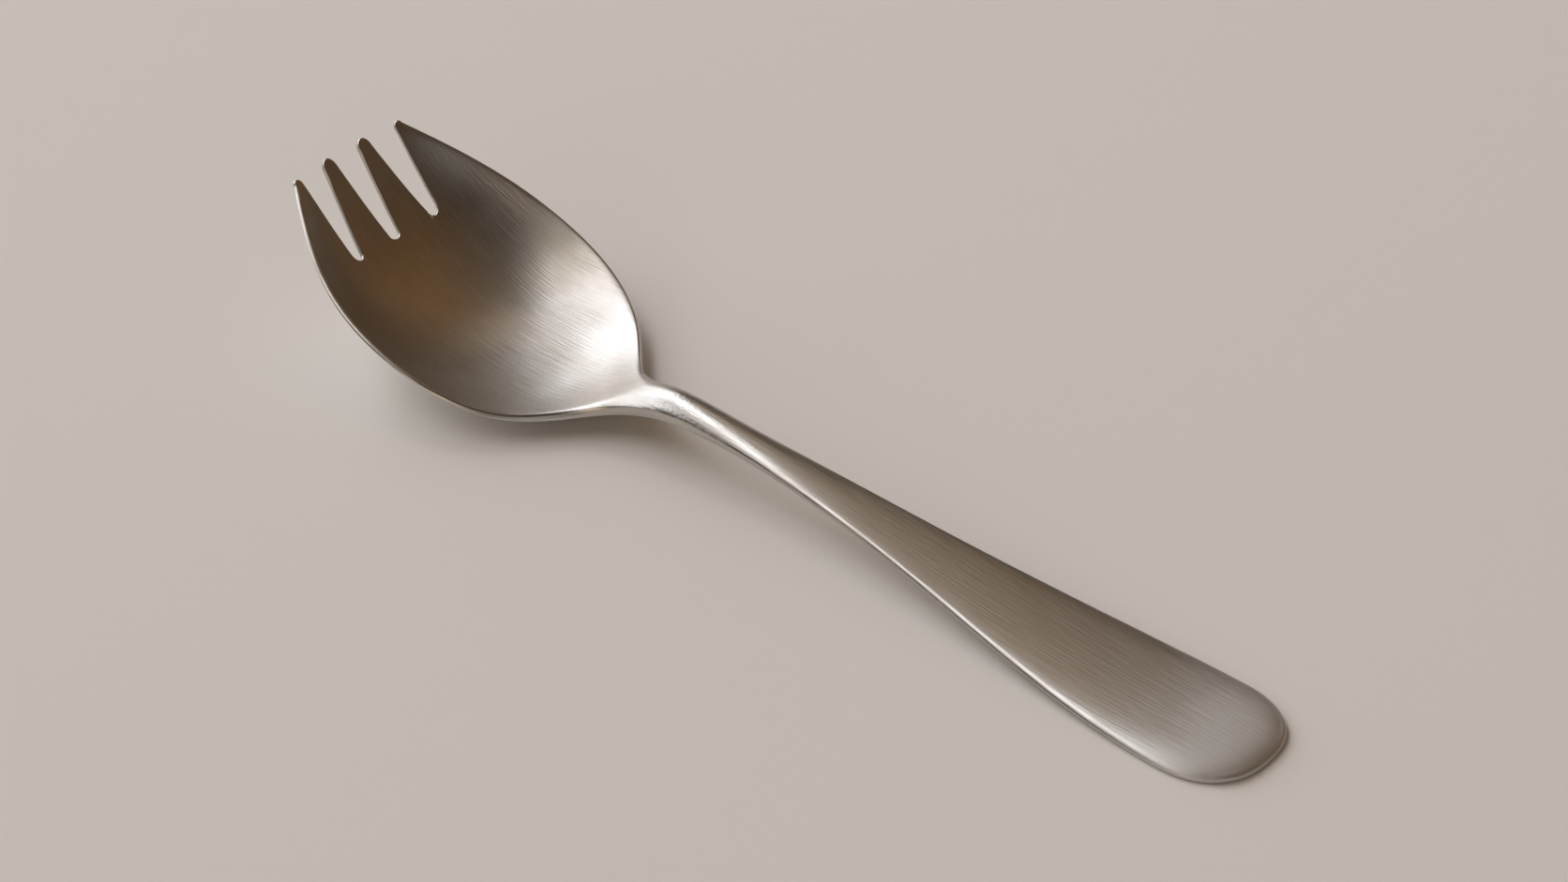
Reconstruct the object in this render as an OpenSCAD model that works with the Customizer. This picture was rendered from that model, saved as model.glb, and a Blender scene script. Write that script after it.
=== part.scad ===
// Spork of stainless steel, stamped and forged from one blank: a bowl with four tines, a neck, a handle.
// It lies as on a table. Y runs along it from the handle to the tines and Z is up. X = 0 is its middle.

/* [Handle] */
// Length from the end of the handle to the narrowest place of the neck
handle_l = 99.05; // [85:0.05:120]
// Width of the handle at its widest, between its upper edges
handle_w = 20.5; // [16:0.1:26]
// Distance from the end of the handle to its widest place
paddle_l = 12.55; // [10:0.05:18]
// Length over which the end of the handle is rounded
end_round_l = 11.35; // [9:0.05:15]
// How far the face of the handle rises above its edges
handle_crown = 0.9; // [0.5:0.05:1.5]
// Height of the side wall of the handle
handle_wall = 1.3; // [1:0.05:2]
// How far the underside of the handle swells below its edges
handle_belly = 0.3; // [0.2:0.05:0.6]

/* [Neck] */
// Width of the neck at its narrowest, between its upper edges
neck_w = 5.3; // [4.5:0.1:8]
// Height of the neck's edges above the table
neck_h = 9.2; // [7:0.1:12]
// How far the back of the neck rises above its edges
neck_crown = 1.3; // [0.8:0.05:1.8]
// Height of the side wall of the neck
neck_wall = 1.5; // [1.2:0.05:2.2]
// Length from the narrowest place of the neck to the ridge where the hollow begins
ridge_l = 16.5; // [13:0.5:21]
// Height of the ridge above the table
ridge_h = 9.6; // [8:0.1:11.5]
// Height of the side wall at the heel of the bowl
heel_wall = 1.7; // [1.3:0.05:2.2]

/* [Bowl] */
// Width of the bowl between its rims
bowl_w = 43; // [36:0.2:50]
// Length from the neck to the lowest place of the rim
heel_l = 26.5; // [23:0.5:31]
// Height of the rim at its lowest place
rim_h = 4.6; // [3.6:0.1:6]
// Length from the lowest place of the rim to the bottoms of the slots
bowl_l = 42.25; // [36:0.25:50]
// Distance from the lowest place of the rim to the widest place of the bowl
belly_l = 26; // [22:0.5:30]
// Distance from the lowest place of the rim to the lowest place of the hollow
floor_l = 17.5; // [15:0.5:21]
// Thickness of the bowl at its rim
bowl_wall = 0.85; // [0.7:0.05:1.4]
// How much thicker the bowl is along its middle than at its rim
bowl_belly = 0.5; // [0.2:0.05:0.8]

/* [Tines] */
// Length of the tines along the table, from the bottoms of the slots
tine_l = 11.45; // [9:0.05:14]
// Height of the tips of the middle tines
tip_h = 24.8; // [20:0.1:29]
// Height of the outer rim, carried on to the tips
rim_tip_h = 25.6; // [21:0.1:31]
// Width of a slot at its round bottom
slot_w = 2.25; // [1.7:0.05:2.7]
// Distance between the middles of the outer slots at their bottoms
slot_spread = 16.8; // [15:0.1:18]
// How much further forward the middle slot begins
mid_slot_set_on = 0.4; // [0:0.1:0.7]
// Distance between the middles of the two middle tips
mid_spread = 7.65; // [7:0.05:8.4]
// Width of a middle tine near its tip
mid_tip_w = 2.3; // [1.6:0.1:2.8]
// Distance between the middles of the two outer tips
outer_spread = 21.8; // [20.5:0.1:24]
// Width of an outer tine near its tip
outer_tip_w = 1.1; // [0.9:0.05:1.4]
// How far the outer tines end behind the middle ones
outer_set_back = 0.85; // [0.4:0.05:1.6]
// Thickness of the tines at their tips
tine_wall = 0.75; // [0.6:0.05:1.1]

/* [Edges] */
// How far the round side wall stands out from the upper edges of the handle
handle_edge = 0.8; // [0.4:0.05:1]
// How far it stands out at the neck
neck_edge = 0.35; // [0.2:0.05:0.5]
// How far it stands out along the rim and the tines
rim_edge = 0.2; // [0.1:0.05:0.3]
// Radius with which the hollow turns over into the ridge and the rim
ridge_round = 0.25; // [0.15:0.05:0.5]

/* [Hidden] */
steel_colour = [0.66, 0.64, 0.61];

// Places along the spork, from the end of the handle
neck_y = handle_l;
ridge_y = neck_y + ridge_l;
heel_y = neck_y + heel_l;
floor_y = heel_y + floor_l;
wide_y = heel_y + belly_l;
slot_y = heel_y + bowl_l;
tip_y = slot_y + tine_l;
// The slots' round bottoms end and their straight sides begin here
slot_round_l = slot_w / 2;
root_y = slot_y + slot_round_l;
// The face of the handle meets the side wall at this height, so that most of the swell of its underside
// is pressed flat on the table
belly_lift_share = 0.33;
handle_h = handle_wall + belly_lift_share * handle_belly;
// The hollow's lowest place stands one thickness above the table, less what the underside is pressed flat
floor_press_share = 0.05;
floor_h = (1 - floor_press_share) * (bowl_wall + bowl_belly);

// Shares of the way from the widest place of the handle to the neck, with the shares of the width left
handle_width_shares = [[0.265, 0.739], [0.543, 0.32], [0.775, 0.085]];
// Shares of the way from the neck to the widest place of the bowl, with the shares of the width gained
bowl_width_shares = [[0.257, 0.04], [0.448, 0.221], [0.6, 0.633], [0.79, 0.926]];
// The same from the widest place to the tips, with the share of the width left
front_width_shares = [[0.5, 0.755]];
// The rim would have this share of the distance between the outer tips, if it ran on to the middle tips
rim_spread_share = 0.975;
// Width at the very end of the handle, before it is rounded, as a share of its greatest width
end_width_share = 0.985;

// Shares of the way from the widest place of the handle to the neck, with the shares of the climb
handle_rise_shares = [[0.265, 0.19], [0.543, 0.57], [0.775, 0.855]];
// Shares of the way from the neck down to the lowest place of the rim, with the shares of the drop
heel_drop_shares = [[0.51, 0.215]];
// Shares of the way from the lowest place of the rim to the tips, with the shares of the climb
rim_rise_shares = [[0.279, 0.14], [0.484, 0.321], [0.745, 0.61]];

// The hollow's middle line: shares of the way from the ridge to the floor, and of the drop left there.
// The first one lies behind the ridge, where the hollow would run out of the neck.
back_wall_shares = [[-0.218, 1.54], [0, 1], [0.145, 0.681], [0.327, 0.337], [0.545, 0.104], [0.85, 0.006]];
// Shares of the way from the floor to the tips, with the shares of the climb
front_wall_shares = [[0.1, 0.007], [0.29, 0.075], [0.481, 0.228], [0.693, 0.473], [0.848, 0.724], [1, 1]];

// How square the hollow's section is, from 0 for a parabola to 1 for a flat floor with steep sides
hollow_square_shares = [[0, 0.1], [0.47, 0.15], [0.7, 0.3], [0.88, 0.7], [1, 0.8]];
// How square the section of the upper face is on the paddle and on the neck
paddle_square_share = 0.5;
neck_square_share = 0.1;
// Exponents of the steep part of the hollow's and the upper face's sections
hollow_power = 4;
face_power = 8;
// Exponent of the rounded end's outline
end_power = 2.4;
// The side wall is an arc between two arms, and bulges by this share of the arms' length
arc_bulge_share = 0.75;
// The hollow fades out at the rim over this share of the radius of the ridge
lip_round_share = 2;
// The crown of the ridge and of the rim, as shares of the neck's
ridge_crown_share = 1.4;
heel_crown_share = 0.7;
rim_crown_share = 0.25;

// Numbers of faces across an outer tine, a slot and a middle tine, and along the parts
outer_faces = 5;
slot_faces = 4;
mid_faces = 4;
handle_rows = 36;
bowl_rows = 38;
tine_rows = 8;
side_faces = 5;
// The rows crowd together at the handle's end: the first gap is this share of an even one
crowding_share = 0.4;
// Where the grid's first corner stands in the rounded end, and how far the bends of its rows reach,
// as shares of the rounded length, the paddle and the slots
corner_share = 0.32;
end_fade_share = 2;
slot_fade_share = 4;
// How suddenly the rows of a tine turn round its tip
tip_power = 3;
// Length of the step over which slopes are found, as a share of the neck's width
step_share = 0.005;

// A natural cubic spline through a list of [place, value] keeps the list and its bend at each place
function swept(p, i = 1, made = [[0, 0]]) =
    i >= len(p) - 1 ? made :
    let (
        before = p[i][0] - p[i - 1][0],
        after = p[i + 1][0] - p[i][0],
        turn = 6 * ((p[i + 1][1] - p[i][1]) / after - (p[i][1] - p[i - 1][1]) / before),
        left = 2 * (before + after) - before * made[i - 1][0]
    )
    swept(p, i + 1, concat(made, [[after / left, (turn - before * made[i - 1][1]) / left]]));
function bends(s, i, made) = i < 0 ? made : bends(s, i - 1, concat([s[i][1] - s[i][0] * made[0]], made));
function curve(p) = let (s = swept(p)) [p, bends(s, len(s) - 1, [0])];

// The value of a curve at a place, carried on as a straight line past its ends
function at(c, y) =
    let (
        p = c[0],
        m = c[1],
        last = len(p) - 1,
        i = max(0, min(last - 1, len([for (q = p) if (q[0] <= y) 1]) - 1)),
        h = p[i + 1][0] - p[i][0],
        s = (y - p[i][0]) / h,
        t = max(0, min(1, s)),
        rise = p[i + 1][1] - p[i][1],
        value = p[i][1] + t * rise - h * h / 6 * t * (1 - t) * ((2 - t) * m[i] + (1 + t) * m[i + 1]),
        slope = s < 0 ? rise - h * h / 6 * (2 * m[i] + m[i + 1]) : rise + h * h / 6 * (m[i] + 2 * m[i + 1])
    )
    value + (s - t) * slope;

// Places between two given ones, from a table of shares, with values that go from one value to another
function between(from_y, to_y, from_v, to_v, shares) =
    [for (s = shares) [from_y + s[0] * (to_y - from_y), from_v + s[1] * (to_v - from_v)]];

// Half width of the outline, before the end of the handle is rounded
half_width = curve(concat(
    [[0, end_width_share * handle_w / 2], [paddle_l, handle_w / 2]],
    between(paddle_l, neck_y, neck_w / 2, handle_w / 2, handle_width_shares),
    [[neck_y, neck_w / 2]],
    between(neck_y, wide_y, neck_w / 2, bowl_w / 2, bowl_width_shares),
    [[wide_y, bowl_w / 2]],
    between(wide_y, tip_y, rim_spread_share * outer_spread / 2, bowl_w / 2, front_width_shares),
    [[tip_y, rim_spread_share * outer_spread / 2]]
));
// Height of the upper edge
edge_height = curve(concat(
    [[0, handle_h], [paddle_l, handle_h]],
    between(paddle_l, neck_y, handle_h, neck_h, handle_rise_shares),
    [[neck_y, neck_h]],
    between(neck_y, heel_y, neck_h, rim_h, heel_drop_shares),
    [[heel_y, rim_h]],
    between(heel_y, tip_y, rim_h, rim_tip_h, rim_rise_shares),
    [[tip_y, rim_tip_h]]
));
// Height of the hollow along the middle plane
hollow_height = curve(concat(
    between(ridge_y, floor_y, floor_h, ridge_h, back_wall_shares),
    [[floor_y, floor_h]],
    between(floor_y, tip_y, floor_h, tip_h, front_wall_shares)
));
hollow_square = curve(between(ridge_y, tip_y, 0, 1, hollow_square_shares));
face_square = curve([
    [paddle_l, paddle_square_share], [neck_y, neck_square_share], [tip_y, neck_square_share]
]);
// How far the upper face rises above its edges, where no hollow is
crown = curve([
    [0, handle_crown], [paddle_l, handle_crown], [neck_y, neck_crown],
    [ridge_y, ridge_crown_share * neck_crown], [heel_y, heel_crown_share * neck_crown],
    [floor_y, rim_crown_share * neck_crown], [tip_y, rim_crown_share * neck_crown]
]);
// Thickness at the edges, how much more there is in the middle, and how far the side wall stands out
wall = curve([
    [0, handle_wall], [paddle_l, handle_wall], [neck_y, neck_wall], [ridge_y, heel_wall],
    [floor_y, bowl_wall], [wide_y, bowl_wall], [slot_y, (bowl_wall + tine_wall) / 2], [tip_y, tine_wall]
]);
belly = curve([
    [0, handle_belly], [neck_y, handle_belly], [ridge_y, handle_belly], [floor_y, bowl_belly],
    [wide_y, bowl_belly], [slot_y, 0], [tip_y, 0]
]);
side_edge = curve([
    [0, handle_edge], [paddle_l, handle_edge], [neck_y, neck_edge], [heel_y, rim_edge],
    [floor_y, rim_edge], [tip_y, rim_edge]
]);

// Two values joined smoothly, below the lower one or above the higher one
function lower_of(a, b, r) = let (m = min(a, b)) m - r * ln(exp((m - a) / r) + exp((m - b) / r));
function upper_of(a, b, r) = -lower_of(-a, -b, r);

// 0 in the middle and 1 on the outline, the rounded end of the handle included
function outness(x, y) =
    pow(
        pow(abs(x) / at(half_width, y), end_power) + pow(max(0, 1 - y / end_round_l), end_power),
        1 / end_power
    );
// A section that goes from 0 in the middle to 1 at the edges
function section(u, square, power) = (1 - square) * u * u + square * pow(u, power);

// Depth of the hollow below the edges, never less than nothing
function depth(y) = upper_of(at(edge_height, y) - at(hollow_height, y), 0, lip_round_share * ridge_round);
// The sheet that the spork is bent from, without its crown
function sheet_height(x, y) =
    at(edge_height, y)
    - depth(y) * (1 - section(abs(x) / at(half_width, y), at(hollow_square, y), hollow_power));
function hollow_surface(x, y) =
    sheet_height(x, y) + at(hollow_height, y) + depth(y) - at(edge_height, y);
function crowned_surface(x, y) =
    at(edge_height, y)
    + at(crown, y) * (1 - section(min(1, outness(x, y)), at(face_square, y), face_power));
function face_height(x, y) = lower_of(crowned_surface(x, y), hollow_surface(x, y), ridge_round);

// Slope of the sheet, found over a short step, and the direction that stands square on it
step = step_share * neck_w;
function unit(v) = v / norm(v);
function square_to(x, y) =
    unit([
        sheet_height(x - step, y) - sheet_height(x + step, y),
        sheet_height(x, y - step) - sheet_height(x, y + step),
        2 * step
    ]);

function upper_point(p) = [p[0], p[1], face_height(p[0], p[1])];
function lower_point(p) =
    let (
        thick = at(wall, p[1]) + at(belly, p[1]) * (1 - pow(min(1, outness(p[0], p[1])), 2)),
        q = [p[0], p[1], sheet_height(p[0], p[1])] - thick * square_to(p[0], p[1])
    )
    [q[0], q[1], max(0, q[2])];

// Plan of the tines: X of a middle one's two edges and of an outer one's inner edge, at roots and tips
slot_half = slot_w / 2;
mid_root = [slot_half, slot_spread / 2 - slot_half];
mid_tip = [mid_spread / 2 - mid_tip_w / 2, mid_spread / 2 + mid_tip_w / 2];
outer_root = slot_spread / 2 + slot_half;
outer_tip = outer_spread / 2 - outer_tip_w / 2;
// Where the straight edges end and the round tips begin
mid_end_y = tip_y - mid_tip_w / 2;
outer_end_y = tip_y - outer_set_back - outer_tip_w / 2;

// The tines from left to right: faces across each one, and the first column of each one's faces
tine_faces = [outer_faces, mid_faces, mid_faces, outer_faces];
columns = 2 * outer_faces + 3 * slot_faces + 2 * mid_faces;
right_mid_column = columns - outer_faces - slot_faces - mid_faces;
first_columns = [0, outer_faces + slot_faces, right_mid_column, columns - outer_faces];
function is_outer(t) = t == 0 || t == 3;
function end_of(t) = is_outer(t) ? outer_end_y : mid_end_y;
function mixed(a, b, share) = a + share * (b - a);

// X of the left and the right edge of tine t at height y of the plan
function edges(t, y) =
    let (
        way = (y - root_y) / (end_of(t) - root_y),
        inner_x = is_outer(t) ? mixed(outer_root, outer_tip, way) : mixed(mid_root[0], mid_tip[0], way),
        outer_x = is_outer(t) ? at(half_width, y) : mixed(mid_root[1], mid_tip[1], way)
    )
    t < 2 ? [-outer_x, -inner_x] : [inner_x, outer_x];
root_edges = [for (t = [0:3]) edges(t, root_y)];

// X of every column where the tines begin, closer together beside the edges
function round_share(share) = (1 - cos(180 * share)) / 2;
function spread(ends, n, first) = [for (c = [first:n]) mixed(ends[0], ends[1], round_share(c / n))];
column_x = concat(
    spread(root_edges[0], outer_faces, 0),
    [for (t = [1:3]) each concat(
        spread([root_edges[t - 1][1], root_edges[t][0]], slot_faces, 1),
        spread(root_edges[t], tine_faces[t], 1)
    )]
);
// How far each column runs back into a slot's round bottom
function in_slot(gap) = slot_round_l * sqrt(max(0, 1 - pow(gap / slot_half, 2)));
mid_dip_share = 1 - mid_slot_set_on / slot_round_l;
column_dip = [for (x = column_x)
    mid_dip_share * in_slot(x) + in_slot(x - slot_spread / 2) + in_slot(x + slot_spread / 2)];

// Width and place of the rounded end's outline, as shares of the half width and of the rounded length
function width_share(y) = pow(1 - pow(max(0, 1 - y / end_round_l), end_power), 1 / end_power);
function back_share(x_share) = 1 - pow(1 - pow(x_share, end_power), 1 / end_power);
// The grid begins at the rounded end, between the two corners where the outline turns from side to end
corner_y = corner_share * end_round_l;
corner_width_share = width_share(corner_y);
column_back = [for (x = column_x)
    end_round_l * back_share(abs(x) / root_edges[3][1] * corner_width_share) - corner_y];

// Y of each row along the edges
bowl_start_y = neck_y + ridge_l / 2;
function crowded(share) = share * mixed(crowding_share, 1, share);
row_y = concat(
    [for (j = [0:handle_rows - 1]) mixed(corner_y, bowl_start_y, crowded(j / handle_rows))],
    [for (j = [0:bowl_rows]) mixed(bowl_start_y, root_y, j / bowl_rows)]
);
rows = len(row_y) - 1;
function fade(gap, length) = pow(max(0, 1 - gap / length), 2);
function body_place(i, j) =
    let (
        y = row_y[j],
        x = column_x[i] / root_edges[3][1] * at(half_width, y) * width_share(y),
        back = column_back[i] * fade(y - corner_y, end_fade_share * paddle_l),
        dip = column_dip[i] * fade(root_y - y, slot_fade_share * slot_w)
    )
    [x, y + back - dip];
// Places in a tine: row k from its root, column c from its left edge, ending in a round tip
function tine_place(t, c, k) =
    let (
        y = mixed(root_y, end_of(t), k / tine_rows),
        ends = edges(t, y),
        share = round_share(c / tine_faces[t]),
        tip_r = (is_outer(t) ? outer_tip_w : mid_tip_w) / 2,
        bulge = 2 * tip_r * sqrt(max(0, share * (1 - share))) * pow(k / tine_rows, tip_power)
    )
    [mixed(ends[0], ends[1], share), y + bulge];

plan = concat(
    [for (j = [0:rows]) for (i = [0:columns]) body_place(i, j)],
    [for (t = [0:3]) for (k = [1:tine_rows]) for (c = [0:tine_faces[t]]) tine_place(t, c, k)]
);

// Where the points of the body and of each tine stand in that list
body_points = (rows + 1) * (columns + 1);
tine_starts = [
    body_points,
    body_points + tine_rows * (outer_faces + 1),
    body_points + tine_rows * (outer_faces + mid_faces + 2),
    body_points + tine_rows * (outer_faces + 2 * mid_faces + 3)
];
function body_at(i, j) = j * (columns + 1) + i;
function tine_at(t, c, k) =
    k == 0 ? body_at(first_columns[t] + c, rows) : tine_starts[t] + (k - 1) * (tine_faces[t] + 1) + c;

// The outline, once round: along the end of the handle and up the right side, then round every tine
// and slot from right to left, and down the left side
function tine_loop(t) = concat(
    [for (k = [1:tine_rows]) tine_at(t, tine_faces[t], k)],
    [for (c = [tine_faces[t] - 1:-1:0]) tine_at(t, c, tine_rows)],
    [for (k = [tine_rows - 1:-1:0]) tine_at(t, 0, k)]
);
outline = concat(
    [for (i = [0:columns]) body_at(i, 0)],
    [for (j = [1:rows]) body_at(columns, j)],
    tine_loop(3),
    [for (t = [2:-1:0]) each concat(
        [for (k = [1:slot_faces]) body_at(first_columns[t + 1] - k, rows)],
        tine_loop(t)
    )],
    [for (j = [rows - 1:-1:1]) body_at(0, j)]
);
around = len(outline);

upper = [for (p = plan) upper_point(p)];
lower = [for (p = plan) lower_point(p)];
// The round side wall, from the upper edge to the lower one: a cubic arc whose two arms leave the faces
// along their own slopes, so that no crease shows
function side_point(k, s) =
    let (
        p = plan[outline[k]],
        ahead = plan[outline[(k + 1) % around]],
        behind = plan[outline[(k + around - 1) % around]],
        inside = p - step * unit([ahead[1] - behind[1], behind[0] - ahead[0]]),
        arm = at(side_edge, p[1]) / arc_bulge_share,
        top = upper[outline[k]],
        foot = lower[outline[k]],
        top_arm = top + arm * unit(top - upper_point(inside)),
        foot_arm = foot + arm * unit(foot - lower_point(inside)),
        t = s / side_faces
    )
    pow(1 - t, 3) * top + 3 * t * pow(1 - t, 2) * top_arm
    + 3 * t * t * (1 - t) * foot_arm + pow(t, 3) * foot;
sides = [for (s = [1:side_faces - 1]) for (k = [0:around - 1]) side_point(k, s)];

lower_start = len(plan);
side_start = 2 * len(plan);
function ring_at(k, s) =
    s == 0 ? outline[k % around] :
    s == side_faces ? lower_start + outline[k % around] : side_start + (s - 1) * around + k % around;

// Every four-sided patch as two triangles; the order of its corners turns it up or down
function patch(a, b, c, d) = [[a, d, c], [a, c, b]];
cells = concat(
    [for (j = [0:rows - 1]) for (i = [0:columns - 1])
        [body_at(i, j), body_at(i + 1, j), body_at(i + 1, j + 1), body_at(i, j + 1)]],
    [for (t = [0:3]) for (k = [0:tine_rows - 1]) for (c = [0:tine_faces[t] - 1])
        [tine_at(t, c, k), tine_at(t, c + 1, k), tine_at(t, c + 1, k + 1), tine_at(t, c, k + 1)]]
);
faces = concat(
    [for (q = cells) each patch(q[0], q[1], q[2], q[3])],
    [for (q = cells) for (f = patch(q[3], q[2], q[1], q[0])) f + lower_start * [1, 1, 1]],
    [for (s = [0:side_faces - 1]) for (k = [0:around - 1])
        each patch(ring_at(k, s), ring_at(k, s + 1), ring_at(k + 1, s + 1), ring_at(k + 1, s))]
);
points = concat(upper, lower, sides);
// The origin lies on the table under the middle of the spork's length
all_y = [for (p = points) p[1]];
middle_y = (min(all_y) + max(all_y)) / 2;

module spork() {
    color(steel_colour)
        translate([0, -middle_y, 0])
            polyhedron(points = points, faces = faces, convexity = 6);
}

spork();
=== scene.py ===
"""Spork of satin brushed stainless steel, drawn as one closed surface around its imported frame.

The spork is one piece: a bowl with four tines, an arched neck and a handle with a rounded end. It lies
as on a table. X is across, with 0 in the middle, Y runs from the handle to the tines, and Z is up from
the table.
"""

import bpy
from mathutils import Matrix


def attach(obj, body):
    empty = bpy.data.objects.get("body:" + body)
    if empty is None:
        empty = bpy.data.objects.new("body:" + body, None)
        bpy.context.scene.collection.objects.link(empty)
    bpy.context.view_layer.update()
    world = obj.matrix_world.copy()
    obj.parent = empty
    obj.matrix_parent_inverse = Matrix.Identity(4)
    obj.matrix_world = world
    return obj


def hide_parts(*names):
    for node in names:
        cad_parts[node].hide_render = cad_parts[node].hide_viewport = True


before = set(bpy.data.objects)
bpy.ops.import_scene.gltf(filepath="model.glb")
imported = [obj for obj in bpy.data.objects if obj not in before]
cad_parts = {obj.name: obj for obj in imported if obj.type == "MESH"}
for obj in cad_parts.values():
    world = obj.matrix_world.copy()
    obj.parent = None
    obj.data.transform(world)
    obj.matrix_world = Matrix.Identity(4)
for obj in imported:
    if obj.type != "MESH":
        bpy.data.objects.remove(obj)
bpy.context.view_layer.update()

from math import cos, pi, radians, sin

import bpy
import numpy as np
from bpy.props import FloatProperty, FloatVectorProperty, PointerProperty
from mathutils import Euler, Vector

bl_info = {
    "name": "Satin Steel Spork",
    "version": (1, 0, 0),
    "blender": (4, 5, 0),
    "location": "View3D > Sidebar > Spork",
    "description": "Draws a spork of brushed stainless steel and the stage that it is photographed on",
    "category": "Object",
}

# Lengths are written in millimetres and kept in metres
MM = 0.001


def length(label, mm, text):
    """A size that a user would change, written in millimetres."""
    return FloatProperty(name=label, description=text, default=mm * MM, unit="LENGTH", precision=5)


def share(label, value, text):
    """A share from 0 to 1 that a user would change."""
    return FloatProperty(name=label, description=text, default=value, min=0, max=1, subtype="FACTOR")


def linear(code):
    """A colour written as sRGB hex, turned to the linear values that the shaders take."""
    channels = [int(code[i:i + 2], 16) / 255 for i in (1, 3, 5)]
    return tuple(c / 12.92 if c <= 0.04045 else ((c + 0.055) / 1.055) ** 2.4 for c in channels)


def colour(label, code, text):
    """A colour that a user would change, written as sRGB hex."""
    return FloatVectorProperty(name=label, description=text, default=linear(code), min=0, max=1,
                               size=3, subtype="COLOR")


class SporkSizes(bpy.types.PropertyGroup):
    """Driving sizes of the spork."""
    handle_l: length("Handle length", 99.05, "From the end of the handle to the narrowest place of the neck")
    handle_w: length("Handle width", 20.5, "Width of the handle at its widest, between its upper edges")
    paddle_l: length("Paddle length", 12.55, "From the end of the handle to its widest place")
    end_round_l: length("Rounded end", 11.35, "Length over which the end of the handle is rounded")
    handle_crown: length("Handle crown", 0.9, "How far the face of the handle rises above its edges")
    handle_wall: length("Handle wall", 1.3, "Height of the side wall of the handle")
    handle_belly: length("Handle belly", 0.3, "How far the underside swells below its edges")
    neck_w: length("Neck width", 5.3, "Width of the neck at its narrowest, between its upper edges")
    neck_h: length("Neck height", 9.2, "Height of the neck's edges above the table")
    neck_crown: length("Neck crown", 1.3, "How far the back of the neck rises above its edges")
    neck_wall: length("Neck wall", 1.5, "Height of the side wall of the neck")
    ridge_l: length("Ridge place", 16.5, "From the neck to the ridge where the hollow begins")
    ridge_h: length("Ridge height", 9.6, "Height of the ridge above the table")
    heel_wall: length("Heel wall", 1.7, "Height of the side wall at the heel of the bowl")
    bowl_w: length("Bowl width", 43, "Width of the bowl between its rims")
    heel_l: length("Heel length", 26.5, "From the neck to the lowest place of the rim")
    rim_h: length("Rim height", 4.6, "Height of the rim at its lowest place")
    bowl_l: length("Bowl length", 42.25, "From the lowest place of the rim to the bottoms of the slots")
    belly_l: length("Widest place", 26, "From the lowest place of the rim to the widest place of the bowl")
    floor_l: length("Deepest place", 17.5, "From the lowest place of the rim to the deepest place")
    bowl_wall: length("Bowl wall", 0.85, "Thickness of the bowl at its rim")
    bowl_belly: length("Bowl belly", 0.5, "How much thicker the bowl is along its middle")
    tine_l: length("Tine length", 11.45, "Length of the tines along the table")
    tip_h: length("Tip height", 24.8, "Height of the tips of the middle tines")
    rim_tip_h: length("Rim end height", 25.6, "Height of the outer rim, carried on to the tips")
    slot_w: length("Slot width", 2.25, "Width of a slot at its round bottom")
    slot_spread: length("Slot spread", 16.8, "Between the middles of the outer slots at their bottoms")
    mid_slot_set_on: length("Middle slot set on", 0.4, "How much further forward the middle slot begins")
    mid_spread: length("Middle tip spread", 7.65, "Between the middles of the two middle tips")
    mid_tip_w: length("Middle tip width", 2.3, "Width of a middle tine near its tip")
    outer_spread: length("Outer tip spread", 21.8, "Between the middles of the two outer tips")
    outer_tip_w: length("Outer tip width", 1.1, "Width of an outer tine near its tip")
    outer_set_back: length("Outer set back", 0.85, "How far the outer tines end behind the middle ones")
    tine_wall: length("Tine wall", 0.75, "Thickness of the tines at their tips")
    handle_edge: length("Handle edge", 0.8, "How far the round side wall stands out from the handle")
    neck_edge: length("Neck edge", 0.35, "How far it stands out at the neck")
    rim_edge: length("Rim edge", 0.2, "How far it stands out along the rim and the tines")
    ridge_round: length("Ridge round", 0.25, "How softly the hollow turns over into the ridge and the rim")


class SteelLook(bpy.types.PropertyGroup):
    """Finish of the brushed steel."""
    bright: colour("Bright steel", "#CAC8C5", "Colour of the steel where the brush cut it fresh")
    toned: colour("Toned steel", "#B6AFA6", "Colour of the steel where handling has toned it")
    roughness: share("Roughness", 0.33, "How far the brushing spreads a reflection")
    # The handle's end is rougher, which is real wear, and the same share also paints it a brighter steel
    # colour as a painted pool of light
    handled_and_lit: share("Handled", 0.24, "How much rougher the end of the handle is, where it is held")
    handled_and_lit_l: length("Handled length", 16, "Length of the end of the handle that is rubbed by hands")
    stretch: share("Stretch", 0.45, "How much further it spreads across the grain than along it")
    grain_w: length("Grain width", 0.3, "Width of a brush line, coarser than the real 0.05 mm so it shows")
    grain_l: length("Grain length", 8, "Length of a brush line")
    grain_depth: length("Grain depth", 0.03, "Depth of a brush line")
    streak_w: length("Streak width", 0.6, "Width of a soft streak that the grinding belt left")
    streak_l: length("Streak length", 6, "Length of such a streak")
    streak_depth: length("Streak depth", 0.015, "Depth of such a streak")
    dimple_w: length("Dimple width", 0.4, "Width of the small dimples that forging left on the neck")
    dimple_l: length("Dimple length", 0.8, "Length of such a dimple, along the spork")
    dimple_depth: length("Dimple depth", 0.03, "Depth of those dimples")
    forged_l: length("Forged length", 16, "How far the dimples reach from halfway between neck and ridge")
    scratch_w: length("Scratch width", 0.25, "Width of a fine scratch from use, drawn as coarse as shows")
    scratch_l: length("Scratch length", 12, "Length of a fine scratch from use")
    scratch_depth: length("Scratch depth", 0.002, "Depth of a fine scratch")
    patch_l: length("Patch length", 11, "Size of the soft patches where the finish was rubbed")


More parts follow.
